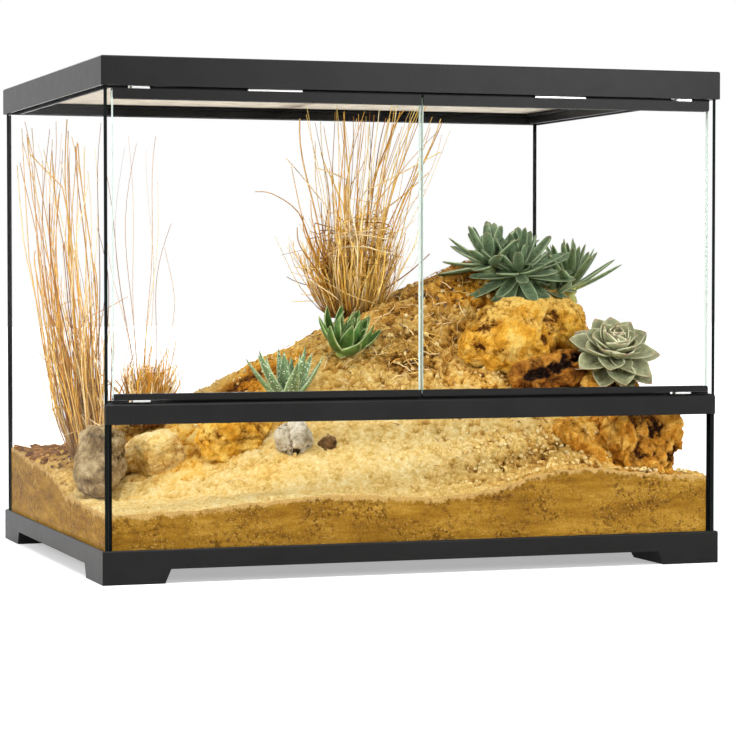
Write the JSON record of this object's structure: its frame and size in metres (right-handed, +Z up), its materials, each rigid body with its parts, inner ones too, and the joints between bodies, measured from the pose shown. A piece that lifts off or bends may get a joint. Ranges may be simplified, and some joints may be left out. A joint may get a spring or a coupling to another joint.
{
  "type": "reptile terrarium",
  "caption": "Glass terrarium with black base and top frames, front rail, two outward-opening pivot doors, lift-off screen cover and a dry sand, stone and succulent landscape.",
  "frame": {"origin": "middle of the footprint, on the floor under the feet", "axes": "+X to the right seen from the front, +Y to the back, +Z up; the doors are on the -Y face"},
  "size_m": [0.61, 0.46, 0.475],
  "materials": {
    "frame_plastic": "fine-grained satin moulding",
    "strip_plastic": "satin extrusion",
    "clear_glass": "polished float glass",
    "door_glass": "polished float glass with frosted edges",
    "sealant": "smooth silicone",
    "bush_plastic": "smooth bearing plastic",
    "satin_steel": "satin",
    "magnet": "ground ferrite",
    "screen_wire": "painted wire",
    "sand": "loose dry sand",
    "sandstone": "rough sandstone",
    "grey_stone": "rough stone",
    "white_stone": "rough quartz",
    "dark_stone": "rough stone",
    "bark": "loose bark",
    "agave_green": "waxy leaf",
    "haworthia_green": "waxy leaf with pale spots",
    "agave_blue": "waxy leaf with pale edge",
    "echeveria_green": "powdery leaf",
    "dry_grass": "dry stems"
  },
  "bodies": {
    "terrarium": {"base_frame": "frame_plastic", "bottom_pane": "clear_glass", "left_pane": "clear_glass", "right_pane": "clear_glass", "back_pane": "clear_glass", "front_lower_pane": "clear_glass", "corner_sealant": "sealant", "floor_sealant": "sealant", "front_rail": "frame_plastic", "rail_end_cap_left": "frame_plastic", "rail_end_cap_right": "frame_plastic", "lower_hinge_bushes": "bush_plastic", "upper_hinge_bushes": "bush_plastic", "top_frame": "frame_plastic", "door_magnets": "magnet", "sand_bed": "sand", "grey_rock": "grey_stone", "layered_slab": "sandstone", "orange_rock": "sandstone", "white_rock": "white_stone", "dark_stone": "dark_stone", "ridge_boulder_left": "sandstone", "ridge_boulder_right": "sandstone", "ridge_stone": "sandstone", "front_outcrop": "sandstone", "front_slab": "sandstone", "bark_litter": "bark", "green_agave": "agave_green", "spotted_haworthia": "haworthia_green", "blue_agave_large": "agave_blue", "blue_agave_small": "agave_blue", "echeveria": "echeveria_green", "tall_grass_left": "dry_grass", "short_grass": "dry_grass", "tall_grass_centre": "dry_grass"},
    "door_left": {"door_glass_left": "door_glass", "door_top_strip_left": "strip_plastic", "door_bottom_strip_left": "strip_plastic", "lower_hinge_shoe_left": "satin_steel", "upper_hinge_shoe_left": "satin_steel", "hinge_pins_left": "satin_steel", "hinge_screws_left": "satin_steel", "catch_plate_left": "satin_steel"},
    "door_right": {"door_glass_right": "door_glass", "door_top_strip_right": "strip_plastic", "door_bottom_strip_right": "strip_plastic", "lower_hinge_shoe_right": "satin_steel", "upper_hinge_shoe_right": "satin_steel", "hinge_pins_right": "satin_steel", "hinge_screws_right": "satin_steel", "catch_plate_right": "satin_steel"},
    "screen_cover": {"screen_frame": "frame_plastic", "screen_mesh": "screen_wire"}
  },
  "joints": [
    {"name": "door_left_hinge", "type": "hinge", "parent": "terrarium", "child": "door_left", "pos_m": [-0.268, -0.22475, 0.165], "axis": [0, 0, -1], "range_deg": [0, 135]},
    {"name": "door_right_hinge", "type": "hinge", "parent": "terrarium", "child": "door_right", "pos_m": [0.268, -0.22475, 0.165], "axis": [0, 0, 1], "range_deg": [0, 135]},
    {"name": "cover_lift", "type": "slide", "parent": "terrarium", "child": "screen_cover", "axis": [0, 0, 1], "range_m": [0, 0.12]}
  ]
}
